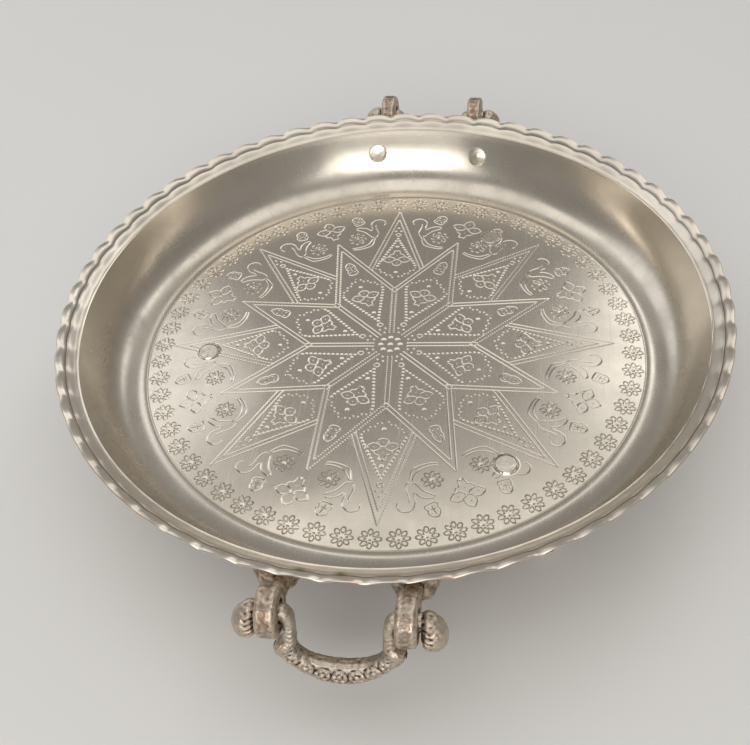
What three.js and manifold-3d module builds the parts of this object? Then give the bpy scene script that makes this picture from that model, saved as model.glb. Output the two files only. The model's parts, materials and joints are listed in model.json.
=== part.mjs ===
// Footed copper tray: a round sheet-metal dish with a fluted rim, two bail handles that swing in
// riveted eye brackets, and three riveted cast feet.
// Millimetres, +Z up. The origin is on the table under the middle of the dish and the front handle
// is towards -Y. The handles are shown hanging.
import * as THREE from "three";
import { mergeVertices } from "three/addons/utils/BufferGeometryUtils.js";
import Module from "manifold-3d";

// Dish: the floor, the coved wall up to a fine ridge, and the fluted rim outside the ridge.
const SHEET = 1.2;
const FLOOR_RADIUS = 160;
const WALL_SPREAD = 31;
const WALL_HEIGHT = 36.8;
const COVE_RUN = 17;
const WALL_PULL_BACK = 8.4;
const WALL_PULL_DOWN = 24.4;
const LEDGE_REACH = 2.6;
const LEDGE_RISE = 0.4;
const CREST_REACH = 7;
const CREST_RISE = 4.4;
const RIM_REACH = 12.2;
const RIM_RISE = 6.2;
const RIM_OVAL = 1.3;
const FLUTES = 61;
const FLUTE_WAVE = 1.4;
const FLUTE_SCALLOP = 0.2;

// Feet: a riveted pad under the floor, a leg that sweeps out and a flat-soled toe.
const FOOT_HEIGHT = 30;
const FOOT_PLACES = {
  left: { bearing: 186.4, inset: 40.5 },
  rear: { bearing: 62.6, inset: 35 },
  front: { bearing: 308.4, inset: 40 },
};
const PAD_BACK = 15;
const PAD_FRONT = 13;
const PAD_THICKNESS = 3.6;
const PAD_WIDTH = 24;
const ANKLE_WIDTH = 14;
const TOE_REACH = 45;
const TOE_WIDTH = 19;
const SOLE_LENGTH = 15;
const TOE_HEIGHT = 7;
const LEG_DEPTH = 9;

// Foot rivets and bracket rivets.
const RIVET_SHANK_RADIUS = 2.5;
const FOOT_RIVET_HEAD_RADIUS = 6.2;
const FOOT_RIVET_HEAD_HEIGHT = 1.4;
const WALL_RIVET_HEAD_RADIUS = 6.9;
const WALL_RIVET_HEAD_HEIGHT = 1.9;
const RIVET_EDGE_SHARE = 0.6;
const RIVET_CROWN_SHARE = 0.7;
const WALL_RIVET_GRIP = 6.5;
const WALL_RIVET_HEIGHT = 22;
const HOLE_OVERRUN = 3;

// Eye brackets: a shell boss on the wall, a neck under the rim and a ring outside it. The rear pair is
// turned about the dish's middle, and each boss has its own distance to the side of its handle's middle.
const REAR_TURN = 177.8;
const BOSS_OFFSETS = { front_left: -39, front_right: 32, rear_left: 37.5, rear_right: -37.5 };
const EYE_SPACING = 65;
const EYE_RADIUS = 13.2;
const EYE_WIDTH = 10.4;
const EYE_BORE_RADIUS = 6.2;
const EYE_CHAMFER = 1.6;
const EYE_HEIGHT = 35.5;
const SHELL_WIDTH = 26;
const SHELL_HEIGHT = 31;
const SHELL_DEPTH = 12;
const SHELL_DROP = 6;
const NECK_WIDTH = 8.6;
const NECK_DEPTH = 9;

// Bail handles: the grip's arch, the legs inside the eyes and the finials outside them.
const PIN_RADIUS = 4.5;
const LEG_WIDTH = 5.8;
const LEG_THICKNESS = 8.6;
const LEG_LENGTH = 15.2;
const HOOK_FILLET = 0.9;
const SHOULDER_FLARE = 7.1;
const SHOULDER_DROP = 4;
const SHOULDER_RUN = 7;
const SHOULDER_FALL = 8.5;
const GRIP_DROP = 33;
const GRIP_WIDTH = 12.4;
const GRIP_THICKNESS = 9.6;
const ARCH_INNER_RUN = 13;
const ARCH_OUTER_RUN = 14;
const ARCH_INNER_RISE = 7.6;
const FINIAL_WIDTH = 12;
const FINIAL_THICKNESS = 12.6;
const FINIAL_DROP = 1.4;
const HANG_TILT = 20;
const ROUND_POWER = 2;
const OBLONG_POWER = 3;

// Clearances.
const SEAT_GAP = 0.3;
const RIVET_CLEARANCE = 0.3;
const EYE_RIM_GAP = 1;
const EYE_SIDE_GAP = 0.6;

// Facet counts.
const WALL_SIDES = 2 * FLUTES;
const RIM_SIDES = 4 * FLUTES;
const WALL_STEPS = 6;
const ROUND_SIDES = 20;
const RIVET_SIDES = 16;
const TUBE_SIDES = 12;
const ARC_STEPS = 5;
const ARCH_STEPS = 8;
const SEARCH_STEPS = 40;

const tinnedCopper = { color: 0xbcb4a4, metalness: 1, roughness: 0.32 };
const castBronze = { color: 0x93816d, metalness: 0.9, roughness: 0.55 };
const wornRivet = { color: 0xc6bcae, metalness: 1, roughness: 0.3 };

const FLOOR_TOP = FOOT_HEIGHT + SHEET;
const RIDGE_RADIUS = FLOOR_RADIUS + WALL_SPREAD;
const RIM_RADIUS = RIDGE_RADIUS + RIM_REACH;

const wasm = await Module();
wasm.setup();

// A closed solid from a geometry: shared vertices are merged and collapsed triangles dropped.
function solidOf(geometry) {
  const bare = geometry.clone();
  bare.deleteAttribute("normal");
  bare.deleteAttribute("uv");
  const welded = mergeVertices(bare);
  const corners = welded.index.array;
  const triangles = [];
  for (let k = 0; k < corners.length; k += 3) {
    const [a, b, c] = [corners[k], corners[k + 1], corners[k + 2]];
    if (a !== b && b !== c && c !== a) triangles.push(a, b, c);
  }
  return new wasm.Manifold(new wasm.Mesh({
    numProp: 3,
    vertProperties: new Float32Array(welded.attributes.position.array),
    triVerts: new Uint32Array(triangles),
  }));
}

function meshOf(name, solid, finish) {
  const { vertProperties, triVerts } = solid.getMesh();
  const geometry = new THREE.BufferGeometry();
  geometry.setAttribute("position", new THREE.BufferAttribute(vertProperties, 3));
  geometry.setIndex(new THREE.BufferAttribute(triVerts, 1));
  geometry.computeVertexNormals();
  const mesh = new THREE.Mesh(geometry, new THREE.MeshStandardMaterial(finish));
  mesh.name = name;
  return mesh;
}

// A skin over a row of point rings, in order. A ring of one point is a pole that closes an end.
function ringSkin(rings) {
  const positions = [];
  const indices = [];
  const starts = [];
  for (const ring of rings) {
    starts.push(positions.length / 3);
    for (const point of ring) positions.push(point.x, point.y, point.z);
  }
  for (let r = 0; r + 1 < rings.length; r += 1) {
    const [near, far] = [rings[r].length, rings[r + 1].length];
    let [i, j] = [0, 0];
    while (i < near || j < far) {
      const a = starts[r] + (i % near);
      const b = starts[r + 1] + (j % far);
      if (j >= far || (i < near && (i + 1) * far <= (j + 1) * near)) {
        i += 1;
        if (near > 1) indices.push(a, starts[r] + (i % near), b);
      } else {
        j += 1;
        if (far > 1) indices.push(a, starts[r + 1] + (j % far), b);
      }
    }
  }
  const geometry = new THREE.BufferGeometry();
  geometry.setAttribute("position", new THREE.Float32BufferAttribute(positions, 3));
  geometry.setIndex(indices);
  return geometry;
}

// The dish's upper profile from the floor's edge to the rim, as radius and height over the floor.
const wallCurve = new THREE.CubicBezierCurve(
  new THREE.Vector2(FLOOR_RADIUS, 0),
  new THREE.Vector2(FLOOR_RADIUS + COVE_RUN, 0),
  new THREE.Vector2(RIDGE_RADIUS - WALL_PULL_BACK, WALL_HEIGHT - WALL_PULL_DOWN),
  new THREE.Vector2(RIDGE_RADIUS, WALL_HEIGHT),
);

const rimProfile = [
  new THREE.Vector2(RIDGE_RADIUS + LEDGE_REACH, WALL_HEIGHT + LEDGE_RISE),
  new THREE.Vector2(RIDGE_RADIUS + CREST_REACH, WALL_HEIGHT + CREST_RISE),
  new THREE.Vector2(RIM_RADIUS, WALL_HEIGHT + RIM_RISE),
];

const dishProfile = [...wallCurve.getPoints(WALL_STEPS), ...rimProfile];

// The profile moved square to itself by a distance: up and inward when positive.
function movedProfile(distance) {
  return dishProfile.map((point, k) => {
    const before = dishProfile[Math.max(k - 1, 0)];
    const after = dishProfile[Math.min(k + 1, dishProfile.length - 1)];
    const along = k === 0 ? new THREE.Vector2(1, 0) : after.clone().sub(before).normalize();
    return new THREE.Vector2(point.x - along.y * distance, point.y + along.x * distance);
  });
}

// How far the wall is drawn out of round at an angle and a height over the floor: out at the handles.
function ovalAt(angle, height) {
  const share = THREE.MathUtils.clamp(height / WALL_HEIGHT, 0, 1);
  return -RIM_OVAL * share * Math.cos(2 * angle);
}

// One ring of the dish. Outside the ridge it rises and falls with the flutes.
function dishRing(point, reach) {
  const fluted = reach > WALL_STEPS;
  const share = fluted ? Math.min(1, (point.x - RIDGE_RADIUS) / CREST_REACH) : 0;
  const sides = fluted ? RIM_SIDES : WALL_SIDES;
  return Array.from({ length: sides }, (_, k) => {
    const angle = (2 * Math.PI * k) / sides;
    const wave = share * Math.cos(FLUTES * angle + Math.PI / 2);
    const radius = point.x + ovalAt(angle, point.y) + FLUTE_SCALLOP * wave;
    const height = FLOOR_TOP + point.y + FLUTE_WAVE * wave;
    return new THREE.Vector3(radius * Math.cos(angle), radius * Math.sin(angle), height);
  });
}

// The dish's sheet, grown on both faces by a clearance.
function dishSheet(grow) {
  const under = movedProfile(-SHEET - grow);
  const upper = movedProfile(grow);
  const rings = [
    [new THREE.Vector3(0, 0, FLOOR_TOP + under[0].y)],
    ...under.map(dishRing),
    ...upper.map(dishRing).reverse(),
    [new THREE.Vector3(0, 0, FLOOR_TOP + upper[0].y)],
  ];
  return solidOf(ringSkin(rings));
}

// Everything inside the dish's outer face, grown by a clearance, up to a lid at the rim.
function dishEnvelope(grow) {
  const under = movedProfile(-SHEET - grow);
  const lid = under[under.length - 1].y;
  const rings = [
    [new THREE.Vector3(0, 0, FLOOR_TOP + under[0].y)],
    ...under.map(dishRing),
    [new THREE.Vector3(0, 0, FLOOR_TOP + lid)],
  ];
  return solidOf(ringSkin(rings));
}

// A round pin standing on its base along +Y, as a lathed profile of radius and height.
function lathed(profile, sides) {
  return new THREE.LatheGeometry(profile.map(([x, y]) => new THREE.Vector2(x, y)), sides);
}

function turnedAlong(geometry, axis, place) {
  const turn = new THREE.Quaternion().setFromUnitVectors(new THREE.Vector3(0, 1, 0), axis);
  return geometry.applyQuaternion(turn).translate(place.x, place.y, place.z);
}

// A rivet with its low crowned head on the sheet's upper face at the origin and its shank along +Y.
function rivetGeometry({ headRadius, headHeight, shank }) {
  return lathed([
    [0, -headHeight],
    [headRadius * RIVET_CROWN_SHARE, -headHeight * (1 + RIVET_EDGE_SHARE) / 2],
    [headRadius, -headHeight * RIVET_EDGE_SHARE],
    [headRadius, 0],
    [RIVET_SHANK_RADIUS, 0],
    [RIVET_SHANK_RADIUS, shank],
    [0, shank],
  ], RIVET_SIDES);
}

// The hole that a rivet's shank passes through, from above the head to past its end.
function rivetHole(start, end) {
  const radius = RIVET_SHANK_RADIUS + RIVET_CLEARANCE;
  return lathed([[0, start], [radius, start], [radius, end], [0, end]], RIVET_SIDES);
}

// Where each rivet sits: a point on the upper face of the sheet, and the way its shank points.
const down = new THREE.Vector3(0, 0, -1);

function footSeat({ bearing, inset }) {
  const angle = THREE.MathUtils.degToRad(bearing);
  const reach = FLOOR_RADIUS - inset;
  const place = new THREE.Vector3(reach * Math.cos(angle), reach * Math.sin(angle), FLOOR_TOP);
  return { angle, place, axis: down };
}

// The round wall's station at a height over the floor: its radius and its outward normal.
function wallStation(height) {
  let [low, high] = [0, 1];
  for (let k = 0; k < SEARCH_STEPS; k += 1) {
    const middle = (low + high) / 2;
    if (wallCurve.getPoint(middle).y < height) low = middle;
    else high = middle;
  }
  const along = wallCurve.getTangent(low);
  return { radius: wallCurve.getPoint(low).x, out: along.y, fall: -along.x };
}

function wallSeat(offset, turn) {
  const station = wallStation(WALL_RIVET_HEIGHT);
  const angle = turn - Math.PI / 2 + Math.asin(offset / station.radius);
  const radius = station.radius + ovalAt(angle, WALL_RIVET_HEIGHT);
  const ray = new THREE.Vector3(Math.cos(angle), Math.sin(angle), 0);
  const place = ray.clone().multiplyScalar(radius).setZ(FLOOR_TOP + WALL_RIVET_HEIGHT);
  const axis = ray.clone().multiplyScalar(station.out).setZ(station.fall);
  return { angle, place, axis, turn, side: Math.sign(offset) };
}

const rearTurn = THREE.MathUtils.degToRad(REAR_TURN);
const footSeats = Object.entries(FOOT_PLACES).map(([name, place]) => ({ name, ...footSeat(place) }));
const wallSeats = Object.entries(BOSS_OFFSETS).map(([name, offset]) => {
  const turn = name.startsWith("rear") ? rearTurn : 0;
  return { name, ...wallSeat(offset, turn) };
});

const footRivet = {
  headRadius: FOOT_RIVET_HEAD_RADIUS,
  headHeight: FOOT_RIVET_HEAD_HEIGHT,
  shank: SHEET + PAD_THICKNESS,
};
const wallRivet = {
  headRadius: WALL_RIVET_HEAD_RADIUS,
  headHeight: WALL_RIVET_HEAD_HEIGHT,
  shank: SHEET + WALL_RIVET_GRIP,
};

function holeAt(seat, shank) {
  const hole = rivetHole(-HOLE_OVERRUN, shank + RIVET_CLEARANCE);
  return solidOf(turnedAlong(hole, seat.axis, seat.place));
}

const rivetHoles = [
  ...footSeats.map((seat) => holeAt(seat, footRivet.shank)),
  ...wallSeats.map((seat) => holeAt(seat, wallRivet.shank)),
];

function drilled(solid) {
  return rivetHoles.reduce((left, hole) => left.subtract(hole), solid);
}

const seatCutter = drilled(dishSheet(SEAT_GAP));
const envelopeCutter = dishEnvelope(SEAT_GAP);

// Rivet heads are dressed down to the sheet they clamp.
function rivet(name, seat, size) {
  const blank = turnedAlong(rivetGeometry(size), seat.axis, seat.place);
  return meshOf(name, solidOf(blank).subtract(seatCutter), wornRivet);
}

// A foot in its own frame: the rivet at the origin, +X outward and the table at z = 0.
function footSolid(seat, hole) {
  const top = FOOT_HEIGHT - SEAT_GAP;
  const under = top - PAD_THICKNESS;
  const side = new THREE.Shape();
  side.moveTo(-PAD_BACK, top);
  side.lineTo(PAD_FRONT, top);
  side.bezierCurveTo(PAD_FRONT + LEG_DEPTH, top, TOE_REACH, top - LEG_DEPTH, TOE_REACH, TOE_HEIGHT);
  side.lineTo(TOE_REACH, 0);
  side.lineTo(TOE_REACH - SOLE_LENGTH, 0);
  side.bezierCurveTo(
    TOE_REACH - LEG_DEPTH, top - 2 * LEG_DEPTH,
    PAD_FRONT + LEG_DEPTH, under,
    0, under,
  );
  side.lineTo(-PAD_BACK, under);
  const sideSlab = new THREE.ExtrudeGeometry(side, {
    depth: PAD_WIDTH + TOE_WIDTH,
    bevelEnabled: false,
    curveSegments: ARC_STEPS,
  });
  sideSlab.translate(0, 0, -(PAD_WIDTH + TOE_WIDTH) / 2).rotateX(Math.PI / 2);

  const ankle = (PAD_FRONT + TOE_REACH) / 2;
  const heel = TOE_REACH - SOLE_LENGTH;
  const toe = TOE_REACH - SOLE_LENGTH / 2;
  const padMiddle = PAD_WIDTH / 2 - PAD_BACK;
  const plan = new THREE.Shape();
  plan.absarc(padMiddle, 0, PAD_WIDTH / 2, Math.PI / 2, -Math.PI / 2, false);
  plan.quadraticCurveTo(PAD_FRONT, -PAD_WIDTH / 2, ankle, -ANKLE_WIDTH / 2);
  plan.quadraticCurveTo(heel, -ANKLE_WIDTH / 2, toe, -TOE_WIDTH / 2);
  plan.quadraticCurveTo(TOE_REACH, -TOE_WIDTH / 2, TOE_REACH, 0);
  plan.quadraticCurveTo(TOE_REACH, TOE_WIDTH / 2, toe, TOE_WIDTH / 2);
  plan.quadraticCurveTo(heel, ANKLE_WIDTH / 2, ankle, ANKLE_WIDTH / 2);
  plan.quadraticCurveTo(PAD_FRONT, PAD_WIDTH / 2, padMiddle, PAD_WIDTH / 2);
  const planSlab = new THREE.ExtrudeGeometry(plan, {
    depth: FOOT_HEIGHT,
    bevelEnabled: false,
    curveSegments: ARC_STEPS,
  });

  const place = new THREE.Matrix4().makeRotationZ(seat.angle);
  place.setPosition(seat.place.x, seat.place.y, 0);
  const blank = solidOf(sideSlab.applyMatrix4(place)).intersect(solidOf(planSlab.applyMatrix4(place)));
  return blank.subtract(hole);
}

// The eye's middle, ahead of the rim's furthest edge, with the bracket's side of the handle's middle.
const EYE_INNER = EYE_SPACING / 2 - EYE_WIDTH / 2;
const RIM_EDGE = RIM_RADIUS + RIM_OVAL + FLUTE_SCALLOP;
const EYE_OUT = Math.sqrt(RIM_EDGE ** 2 - EYE_INNER ** 2) + EYE_RIM_GAP + EYE_RADIUS;
const EYE_Z = FLOOR_TOP + EYE_HEIGHT;

// A bracket: shell, neck and ring joined, trimmed to the wall, then bored.
function bracketSolid(seat, hole) {
  const eye = new THREE.Vector3((seat.side * EYE_SPACING) / 2, -EYE_OUT, EYE_Z);
  const shellHeight = WALL_RIVET_HEIGHT - SHELL_DROP;
  const shellRadius = wallStation(shellHeight).radius + SHEET;
  const wallAngle = seat.angle - seat.turn;
  const shellZ = FLOOR_TOP + shellHeight;
  const neckRoot = new THREE.Vector3(eye.x, -Math.sqrt(shellRadius ** 2 - eye.x ** 2), shellZ);

  const shell = new THREE.SphereGeometry(1, ROUND_SIDES, ROUND_SIDES / 2);
  shell.rotateX(Math.PI / 2).scale(SHELL_DEPTH, SHELL_WIDTH / 2, SHELL_HEIGHT / 2);
  shell.translate(shellRadius, 0, shellZ).rotateZ(wallAngle);

  const section = new THREE.Shape();
  section.absellipse(0, 0, NECK_DEPTH / 2, NECK_WIDTH / 2, 0, 2 * Math.PI);
  const neck = new THREE.ExtrudeGeometry(section, {
    steps: 1,
    extrudePath: new THREE.LineCurve3(neckRoot, eye),
    curveSegments: ROUND_SIDES / 2,
  });

  const half = EYE_WIDTH / 2;
  const ring = lathed([
    [0, -half],
    [EYE_RADIUS - EYE_CHAMFER, -half],
    [EYE_RADIUS, EYE_CHAMFER - half],
    [EYE_RADIUS, half - EYE_CHAMFER],
    [EYE_RADIUS - EYE_CHAMFER, half],
    [0, half],
  ], ROUND_SIDES);
  const across = new THREE.Vector3(1, 0, 0);
  const bore = lathed([
    [0, -EYE_WIDTH],
    [EYE_BORE_RADIUS, -EYE_WIDTH],
    [EYE_BORE_RADIUS, EYE_WIDTH],
    [0, EYE_WIDTH],
  ], ROUND_SIDES);

  const turn = (geometry) => solidOf(geometry.rotateZ(seat.turn));
  return turn(shell)
    .add(turn(neck))
    .subtract(envelopeCutter)
    .add(turn(turnedAlong(ring, across, eye)))
    .subtract(turn(turnedAlong(bore, across, eye)))
    .subtract(hole);
}

// Half of a bail in its own plane, from the middle of the grip to the finial's tip, as a row of
// crossings. U runs along the hinge and V up from it. A crossing spans the inner and outer edge of the
// outline, with half the thickness there and the power that sets how square its section is.
function bailCrossings() {
  const at = (u, v) => new THREE.Vector2(u, v);
  const legOuter = EYE_INNER - EYE_SIDE_GAP;
  const legInner = legOuter - LEG_WIDTH;
  const finialInner = EYE_INNER + EYE_WIDTH + EYE_SIDE_GAP;
  const finialOuter = finialInner + FINIAL_WIDTH;
  const turnV = -PIN_RADIUS - HOOK_FILLET;
  const shoulder = at(legOuter + SHOULDER_FLARE, -LEG_LENGTH - SHOULDER_DROP);
  const gripInner = GRIP_WIDTH / 2 - GRIP_DROP;
  const gripOuter = -GRIP_WIDTH / 2 - GRIP_DROP;
  const grip = { thickness: GRIP_THICKNESS / 2, power: OBLONG_POWER };
  const leg = { thickness: LEG_THICKNESS / 2, power: OBLONG_POWER };
  const pin = { thickness: PIN_RADIUS, power: ROUND_POWER };
  const finial = { thickness: FINIAL_THICKNESS / 2, power: ROUND_POWER };

  const archInner = new THREE.CubicBezierCurve(
    at(0, gripInner),
    at(ARCH_INNER_RUN, gripInner),
    at(legInner, -LEG_LENGTH - ARCH_INNER_RISE),
    at(legInner, -LEG_LENGTH - SHOULDER_DROP / 2),
  );
  const archOuter = new THREE.CubicBezierCurve(
    at(0, gripOuter),
    at(ARCH_OUTER_RUN, gripOuter),
    at(shoulder.x - SHOULDER_RUN, shoulder.y - SHOULDER_FALL),
    shoulder,
  );
  const quarter = (u, across, rise, from, to) => (
    new THREE.EllipseCurve(u, turnV, HOOK_FILLET + across, HOOK_FILLET + rise, from, to, true)
  );
  const bend = (u, width, from, to) => ({
    small: quarter(u, 0, 0, from, to),
    large: quarter(u, width, 2 * PIN_RADIUS, from, to),
  });
  const hook = bend(legOuter + HOOK_FILLET, LEG_WIDTH, Math.PI, Math.PI / 2);
  const curl = bend(finialInner - HOOK_FILLET, FINIAL_WIDTH, Math.PI / 2, 0);

  const crossings = [];
  const cross = (inner, outer, size) => crossings.push({ inner, outer, ...size });
  const sweep = (innerCurve, outerCurve, steps, from, to) => {
    for (let k = 1; k <= steps; k += 1) {
      const share = k / steps;
      cross(innerCurve.getPoint(share), outerCurve.getPoint(share), {
        thickness: THREE.MathUtils.lerp(from.thickness, to.thickness, share),
        power: THREE.MathUtils.lerp(from.power, to.power, share),
      });
    }
  };
  cross(at(0, gripInner), at(0, gripOuter), grip);
  sweep(archInner, archOuter, ARCH_STEPS, grip, grip);
  cross(at(legInner, -LEG_LENGTH), at(legOuter, -LEG_LENGTH), leg);
  cross(at(legInner, turnV), at(legOuter, turnV), leg);
  sweep(hook.large, hook.small, ARC_STEPS, leg, pin);
  cross(at(finialInner - HOOK_FILLET, PIN_RADIUS), at(finialInner - HOOK_FILLET, -PIN_RADIUS), pin);
  sweep(curl.large, curl.small, ARC_STEPS, pin, finial);
  const tip = at((finialInner + finialOuter) / 2, turnV - FINIAL_DROP - FINIAL_WIDTH / 2);
  for (let k = 0; k < ARC_STEPS; k += 1) {
    const angle = (Math.PI / 2) * (k / ARC_STEPS);
    const half = (FINIAL_WIDTH / 2) * Math.cos(angle);
    const level = turnV - FINIAL_DROP - (FINIAL_WIDTH / 2) * Math.sin(angle);
    const thickness = finial.thickness * Math.cos(angle);
    cross(at(tip.x + half, level), at(tip.x - half, level), { thickness, power: ROUND_POWER });
  }
  return { crossings, tip };
}

// The closed section of a bail at a crossing.
function bailSection({ inner, outer, thickness, power }) {
  const bulge = (value) => Math.sign(value) * Math.abs(value) ** (ROUND_POWER / power);
  return Array.from({ length: TUBE_SIDES }, (_, side) => {
    const angle = (2 * Math.PI * (side + 0.5)) / TUBE_SIDES;
    const point = outer.clone().lerp(inner, (1 + bulge(Math.cos(angle))) / 2);
    return new THREE.Vector3(point.x, -thickness * bulge(Math.sin(angle)), point.y);
  });
}

// A bail: its section swept from tip to tip, each end closed by a pole.
function bailSolid() {
  const { crossings, tip } = bailCrossings();
  const mirror = (point) => new THREE.Vector2(-point.x, point.y);
  const mirrored = crossings.slice(1).reverse().map((crossing) => ({
    ...crossing,
    inner: mirror(crossing.inner),
    outer: mirror(crossing.outer),
  }));
  return solidOf(ringSkin([
    [new THREE.Vector3(-tip.x, 0, tip.y)],
    ...[...mirrored, ...crossings].map(bailSection),
    [new THREE.Vector3(tip.x, 0, tip.y)],
  ]));
}

const tray = new THREE.Group();
tray.add(meshOf("tray_body", drilled(dishSheet(0)), tinnedCopper));

footSeats.forEach((seat, k) => {
  tray.add(meshOf(`${seat.name}_foot`, footSolid(seat, rivetHoles[k]), castBronze));
  tray.add(rivet(`${seat.name}_foot_rivet`, seat, footRivet));
});

wallSeats.forEach((seat, k) => {
  const hole = rivetHoles[footSeats.length + k];
  tray.add(meshOf(`${seat.name}_eye_bracket`, bracketSolid(seat, hole), castBronze));
  tray.add(rivet(`${seat.name}_bracket_rivet`, seat, wallRivet));
});

// Each bail's pin lies in the bottom of its eyes, and its grip hangs tilted away from the wall.
const pinZ = EYE_Z - EYE_BORE_RADIUS + PIN_RADIUS + SEAT_GAP;
for (const [name, turn] of [["front_handle", 0], ["rear_handle", rearTurn]]) {
  const hinge = new THREE.Group();
  const bail = meshOf(name, bailSolid(), castBronze);
  bail.position.set(0, -EYE_OUT, pinZ);
  bail.rotation.x = -THREE.MathUtils.degToRad(HANG_TILT);
  hinge.rotation.z = turn;
  hinge.add(bail);
  tray.add(hinge);
}

export default tray;
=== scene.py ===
import cmath
import json
import math

import bpy
import numpy as np
from mathutils import Matrix, Vector, kdtree, noise
from mathutils.geometry import delaunay_2d_cdt


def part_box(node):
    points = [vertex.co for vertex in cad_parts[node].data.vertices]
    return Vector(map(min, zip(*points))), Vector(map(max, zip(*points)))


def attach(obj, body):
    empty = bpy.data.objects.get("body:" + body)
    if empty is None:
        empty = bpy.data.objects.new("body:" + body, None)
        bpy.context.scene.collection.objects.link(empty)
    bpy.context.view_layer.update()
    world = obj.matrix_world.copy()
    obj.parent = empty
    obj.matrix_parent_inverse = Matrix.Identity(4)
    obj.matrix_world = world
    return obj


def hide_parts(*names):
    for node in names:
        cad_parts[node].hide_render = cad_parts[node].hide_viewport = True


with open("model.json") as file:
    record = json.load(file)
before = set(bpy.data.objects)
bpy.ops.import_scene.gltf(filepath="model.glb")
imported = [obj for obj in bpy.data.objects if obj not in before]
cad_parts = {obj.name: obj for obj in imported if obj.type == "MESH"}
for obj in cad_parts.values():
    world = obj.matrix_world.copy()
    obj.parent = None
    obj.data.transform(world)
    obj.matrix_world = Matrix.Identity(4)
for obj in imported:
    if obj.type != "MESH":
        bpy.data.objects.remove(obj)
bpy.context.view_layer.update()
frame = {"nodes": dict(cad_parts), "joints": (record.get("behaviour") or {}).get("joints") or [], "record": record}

# Lengths are in millimetres and angles in degrees, until a mesh is made in metres.
MM = 0.001

# The camera, fitted to the tray's own circles
CAMERA_AIM = (-8.6, -25.8)
CAMERA_BEARING = 11.0
CAMERA_ELEVATION = 45.44
CAMERA_DISTANCE = 614.6
CAMERA_ROLL = -5.62
SENSOR_WIDTH = 36.0
CAMERA_LENS = 47.26

# The sheet: a flat floor, a coved wall and a fluted rim
SHEET = 1.2
FLOOR_TOP = frame["record"]["mounts"][3]["pos_m"][2] / MM
FLOOR_RADIUS = 160.0
RIDGE_RADIUS = 191.0
WALL_HEIGHT = 36.8
WALL_CURVE = ((160.0, 0.0), (177.0, 0.0), (182.6, 12.4), (RIDGE_RADIUS, WALL_HEIGHT))
WALL_STEPS = 16
RIM_REACH = 12.2
RIM_OVAL = 1.3
FLUTES = 61
FLUTE_COLUMNS = 10
COLUMNS = FLUTES * FLUTE_COLUMNS
FLUTE_WAVE = 1.15
FLUTE_RISE = 0.5
FLUTE_FALL = 0.22
FLUTE_CROWN = 0.6
FLUTE_SPREAD = 1.3
FLUTE_SCALLOP = 0.15
FLOOR_EDGE = 157.0

# The profile between the floor and the cove, as radius and height over the floor
EDGE_BAND = ((157.35, -0.3), (157.7, 0.0), (158.4, 0.02), (158.8, 0.12), (161.6, 0.26), (162.0, 0.24))
BAND_LIFT = 0.2
BAND_BLEND = 8.0
# The rim outside the ridge, up to its rounded lip
RIM_TOP = (
    (190.8, 37.2), (191.2, 37.5), (191.8, 37.4), (192.4, 37.0), (193.2, 37.3), (194.4, 38.4), (195.8, 39.6),
    (197.0, 40.4), (197.7, 40.5), (198.0, 40.2), (198.4, 40.8), (199.4, 42.0), (200.8, 42.7), (202.2, 43.05),
    (202.9, 43.1), (203.25, 42.8), (203.3, 42.3), (203.1, 41.9),
)
RIM_UNDER = ((202.0, 41.6), (199.4, 40.4), (196.0, 37.9), (193.8, 35.9), (192.4, 35.6))

# The engraved star, with its lengths as shares of the floor's radius
STAR_CENTRE = complex(-1.73, -0.34)
STAR_UNIT = FLOOR_RADIUS
STAR_POINTS = 8
STAR_STEP = 360 / STAR_POINTS
OUTER_TIP_ANGLE = 3.4
INNER_TIP_ANGLE = OUTER_TIP_ANGLE + STAR_STEP / 2
LINE_SPACING = 0.017
RADIAL_LINE = (0.065, 0.343)
INNER_TIP = 0.70
OUTER_TIP = 0.883
OUTER_KITE_BASE = (0.478, 0.119)
INNER_KITE_BASE = (0.343 * math.cos(math.pi / STAR_POINTS), 0.343 * math.sin(math.pi / STAR_POINTS))
OUTER_BEADS = ((0.409, 0), (0.445, 0.055), (0.475, 0.084), (0.497, 0.081), (0.680, 0))
INNER_BEADS = ((0.434, 0), (0.395, 0.052), (0.362, 0.086), (0.335, 0.086), (0.150, 0))

# Tool marks, in millimetres
GROOVE_WIDTH = 1.15
GROOVE_DEPTH = 0.27
GROOVE_STEP = 1.2
LINE_WIDTH = 1.2
BEADED_STEP = 0.92
BEAD_SWELL = 1.3
BEAD_WAIST = 0.7
# Painted shade at the bottoms of grooves and punch marks, standing in for their shadow
CREVICE_SHADE = 0.3
BEAD_PITCH = 2.8
BEAD_RADIUS = 1.2
BEAD_DEPTH = 0.48
BEAD_SIDES = 8
MARKS_PER_STEP = 3
ROSETTES = 61
ROSETTE_CIRCLE = 0.937
ROSETTE_RADIUS = 7.3
ROSETTE_PETALS = 8


def bezier(points, share):
    """The point of a cubic curve at a share of its run."""
    a, b, c, d = (np.array(point) for point in points)
    rest = 1 - share
    return rest**3 * a + 3 * rest**2 * share * b + 3 * rest * share**2 * c + share**3 * d


def smoothstep(low, high, value):
    share = np.clip((value - low) / (high - low), 0, 1)
    return share * share * (3 - 2 * share)


class Spot:
    """A place on the floor with a heading and a handedness, in shares of the star's unit."""

    def __init__(self, origin, heading, flip=1, unit=STAR_UNIT):
        self.origin = origin
        self.turn = cmath.rect(unit, math.radians(heading))
        self.flip = flip
        self.heading = heading
        self.unit = unit

    def at(self, x, y=0.0):
        return self.origin + self.turn * complex(x, self.flip * y)

    def moved(self, x, y=0.0, turn=0.0, scale=1.0):
        return Spot(self.at(x, y), self.heading + self.flip * turn, self.flip, self.unit * scale)

    def mirrored(self):
        return Spot(self.origin, self.heading, -self.flip, self.unit)


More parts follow.
